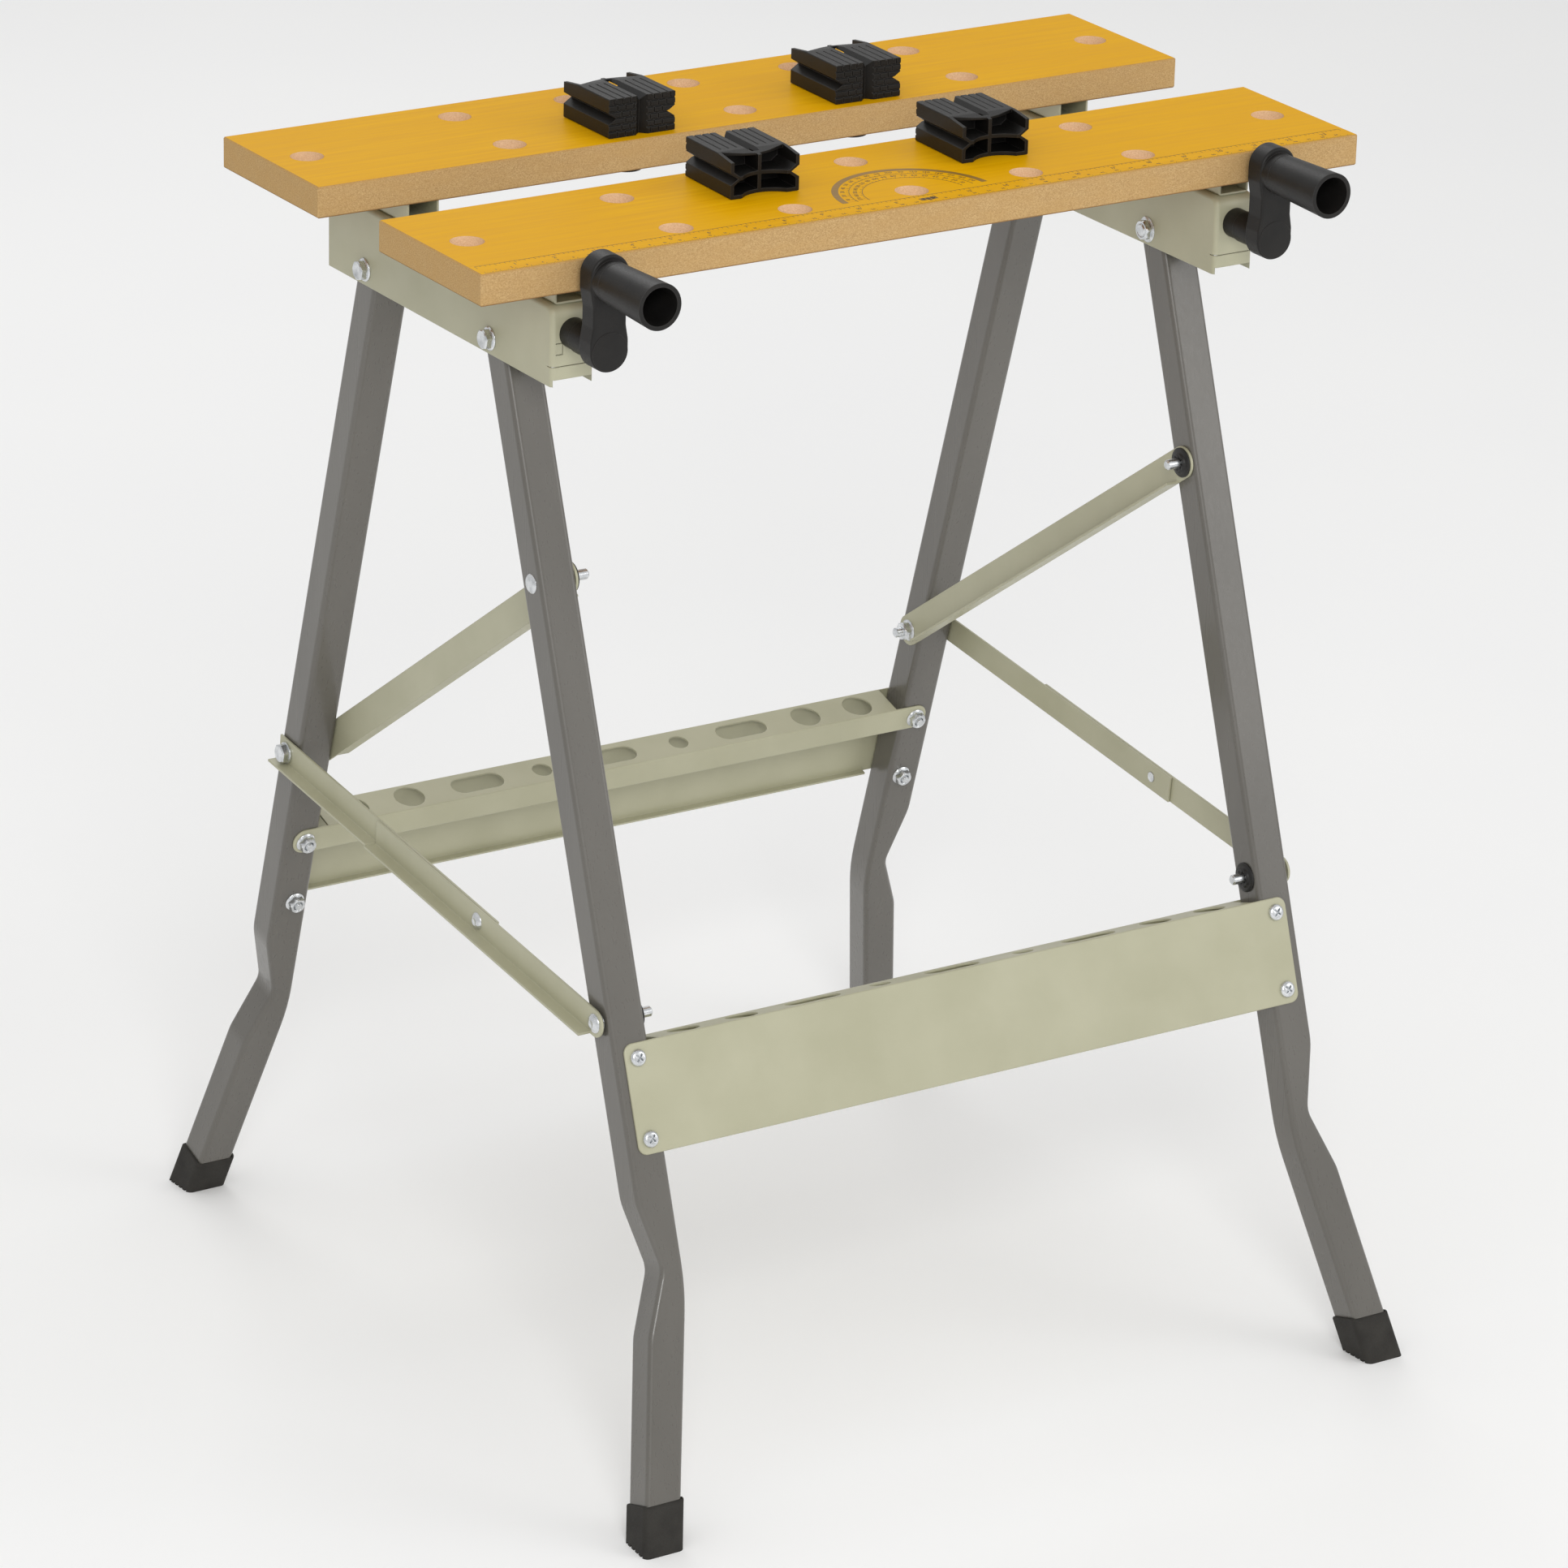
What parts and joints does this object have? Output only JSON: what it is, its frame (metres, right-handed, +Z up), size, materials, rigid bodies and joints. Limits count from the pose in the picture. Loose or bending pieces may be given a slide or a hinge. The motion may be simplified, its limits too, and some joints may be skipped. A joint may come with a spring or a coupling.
{
  "type": "folding clamping workbench",
  "caption": "Folding clamping workbench: two drilled vise jaws on rails, closed by screw cranks, on splayed tube legs that fold flat under the top, with pierced cross panels and bench dogs.",
  "frame": {"origin": "on the floor, under the middle of the bench's overall box", "axes": "+Z up, +X to the right along the jaws, -Y towards the user and the cranks"},
  "size_m": [0.605, 0.6031, 0.7658],
  "materials": {
    "jaw_board": "printed satin board",
    "sage_steel": "satin powder coat",
    "leg_tube": "gloss paint",
    "boot_rubber": "matte",
    "dog_plastic": "moulded, satin",
    "black_plastic": "moulded, satin",
    "black_steel": "black oxide",
    "screw_steel": "bright thread",
    "zinc": "bright zinc plate"
  },
  "bodies": {
    "top": {"front_jaw": "jaw_board", "rail_left": "sage_steel", "rail_right": "sage_steel", "front_spacer_left": "sage_steel", "front_spacer_right": "sage_steel", "front_jaw_screws": "zinc", "screw_bush_left": "black_plastic", "screw_bush_right": "black_plastic", "pivot_bolts": "zinc", "pivot_nuts": "zinc"},
    "rear_jaw_carriage": {"rear_jaw": "jaw_board", "rear_spacer_left": "sage_steel", "rear_spacer_right": "sage_steel", "rear_jaw_screws": "zinc", "vise_nut_left": "zinc", "vise_nut_right": "zinc"},
    "crank_left": {"lead_screw_left": "screw_steel", "crank_arm_left": "black_plastic", "grip_pin_left": "zinc"},
    "crank_right": {"lead_screw_right": "screw_steel", "crank_arm_right": "black_plastic", "grip_pin_right": "zinc"},
    "grip_left": {"crank_grip_left": "black_plastic"},
    "grip_right": {"crank_grip_right": "black_plastic"},
    "front_legs": {"front_leg_left": "leg_tube", "front_leg_right": "leg_tube", "front_panel": "sage_steel", "front_panel_bolts": "zinc", "front_panel_nuts": "zinc", "front_boot_left": "boot_rubber", "front_boot_right": "boot_rubber", "strut_pins": "zinc", "strut_push_washers": "black_steel", "stay_pins": "zinc", "stay_push_washers": "black_steel"},
    "rear_legs": {"rear_leg_left": "leg_tube", "rear_leg_right": "leg_tube", "rear_panel": "sage_steel", "rear_panel_bolts": "zinc", "rear_panel_nuts": "zinc", "rear_boot_left": "boot_rubber", "rear_boot_right": "boot_rubber", "stay_bolts": "zinc", "stay_washers": "zinc"},
    "left_strut": {"strut_left": "sage_steel", "strut_nut_left": "zinc"},
    "right_strut": {"strut_right": "sage_steel", "strut_nut_right": "zinc"},
    "left_rear_stay": {"stay_rear_left": "sage_steel"},
    "right_rear_stay": {"stay_rear_right": "sage_steel"},
    "left_front_stay": {"stay_front_left": "sage_steel", "knee_rivet_left": "zinc", "stay_pin_head_left": "zinc"},
    "right_front_stay": {"stay_front_right": "sage_steel", "knee_rivet_right": "zinc", "stay_pin_head_right": "zinc"},
    "front_left_dog": {"dog_front_left": "dog_plastic"},
    "front_right_dog": {"dog_front_right": "dog_plastic"},
    "rear_left_dog": {"dog_rear_left": "dog_plastic"},
    "rear_right_dog": {"dog_rear_right": "dog_plastic"}
  },
  "joints": [
    {"name": "crank_left_turn", "type": "hinge", "parent": "top", "child": "crank_left", "pos_m": [-0.23, -0.15465, 0.691], "axis": [0, 1, 0], "range_deg": [-1350, 6390]},
    {"name": "crank_right_turn", "type": "hinge", "parent": "top", "child": "crank_right", "pos_m": [0.23, -0.15465, 0.691], "axis": [0, 1, 0], "range_deg": [-1351, 6391]},
    {"name": "rear_jaw_slide", "type": "slide", "parent": "top", "child": "rear_jaw_carriage", "axis": [0, -1, 0], "range_m": [-0.01505, 0.07105]},
    {"name": "grip_left_spin", "type": "hinge", "parent": "crank_left", "child": "grip_left", "pos_m": [-0.23, -0.19365, 0.7326], "axis": [0, 1, 0], "continuous": true},
    {"name": "grip_right_spin", "type": "hinge", "parent": "crank_right", "child": "grip_right", "pos_m": [0.23, -0.19365, 0.7326], "axis": [0, 1, 0], "continuous": true},
    {"name": "leg_fold", "type": "hinge", "parent": "top", "child": "front_legs", "pos_m": [0, -0.05625, 0.6695], "axis": [1, 0, 0], "range_deg": [0, 97]},
    {"name": "rear_leg_fold", "type": "hinge", "parent": "top", "child": "rear_legs", "pos_m": [0, 0.09255, 0.6695], "axis": [1, 0, 0], "range_deg": [0, 63.55]},
    {"name": "left_strut_swing", "type": "hinge", "parent": "front_legs", "child": "left_strut", "pos_m": [-0.2162, -0.10312, 0.53401], "axis": [1, 0, 0], "range_deg": [-67.41, 0]},
    {"name": "left_rear_stay_swing", "type": "hinge", "parent": "rear_legs", "child": "left_rear_stay", "pos_m": [-0.2425, 0.19211, 0.32859], "axis": [1, 0, 0], "range_deg": [-68.87, 0]},
    {"name": "left_stay_knee", "type": "hinge", "parent": "left_rear_stay", "child": "left_front_stay", "pos_m": [-0.2442, -0.04978, 0.30433], "axis": [1, 0, 0], "range_deg": [0, 171.53]},
    {"name": "right_strut_swing", "type": "hinge", "parent": "front_legs", "child": "right_strut", "pos_m": [0.2162, -0.10312, 0.53401], "axis": [1, 0, 0], "range_deg": [-67.41, 0]},
    {"name": "right_rear_stay_swing", "type": "hinge", "parent": "rear_legs", "child": "right_rear_stay", "pos_m": [0.2425, 0.19211, 0.32859], "axis": [1, 0, 0], "range_deg": [-68.87, 0]},
    {"name": "right_stay_knee", "type": "hinge", "parent": "right_rear_stay", "child": "right_front_stay", "pos_m": [0.2442, -0.04978, 0.30433], "axis": [1, 0, 0], "range_deg": [0, 171.53]},
    {"name": "front_left_dog_turn", "type": "hinge", "parent": "top", "child": "front_left_dog", "pos_m": [-0.08, -0.05595, 0.7415], "axis": [0, 0, 1], "range_deg": [-90, 90]},
    {"name": "front_right_dog_turn", "type": "hinge", "parent": "top", "child": "front_right_dog", "pos_m": [0.08, -0.05595, 0.7415], "axis": [0, 0, 1], "range_deg": [-90, 90]},
    {"name": "rear_left_dog_turn", "type": "hinge", "parent": "rear_jaw_carriage", "child": "rear_left_dog", "pos_m": [-0.08, 0.06805, 0.7415], "axis": [0, 0, 1], "range_deg": [-90, 90]},
    {"name": "rear_right_dog_turn", "type": "hinge", "parent": "rear_jaw_carriage", "child": "rear_right_dog", "pos_m": [0.08, 0.06805, 0.7415], "axis": [0, 0, 1], "range_deg": [-90, 90]}
  ],
  "couplings": [
    {"joint": "crank_right_turn", "follows": "crank_left_turn", "ratio": 1},
    {"joint": "rear_jaw_slide", "follows": "crank_left_turn", "m_per_rad": 0.00063662},
    {"joint": "rear_leg_fold", "follows": "leg_fold", "ratio": 0.65503},
    {"joint": "left_strut_swing", "follows": "leg_fold", "ratio": -0.69484},
    {"joint": "left_rear_stay_swing", "follows": "leg_fold", "ratio": -0.70993},
    {"joint": "left_stay_knee", "follows": "leg_fold", "ratio": 1.7682},
    {"joint": "right_strut_swing", "follows": "leg_fold", "ratio": -0.69484},
    {"joint": "right_rear_stay_swing", "follows": "leg_fold", "ratio": -0.70993},
    {"joint": "right_stay_knee", "follows": "leg_fold", "ratio": 1.7682}
  ]
}
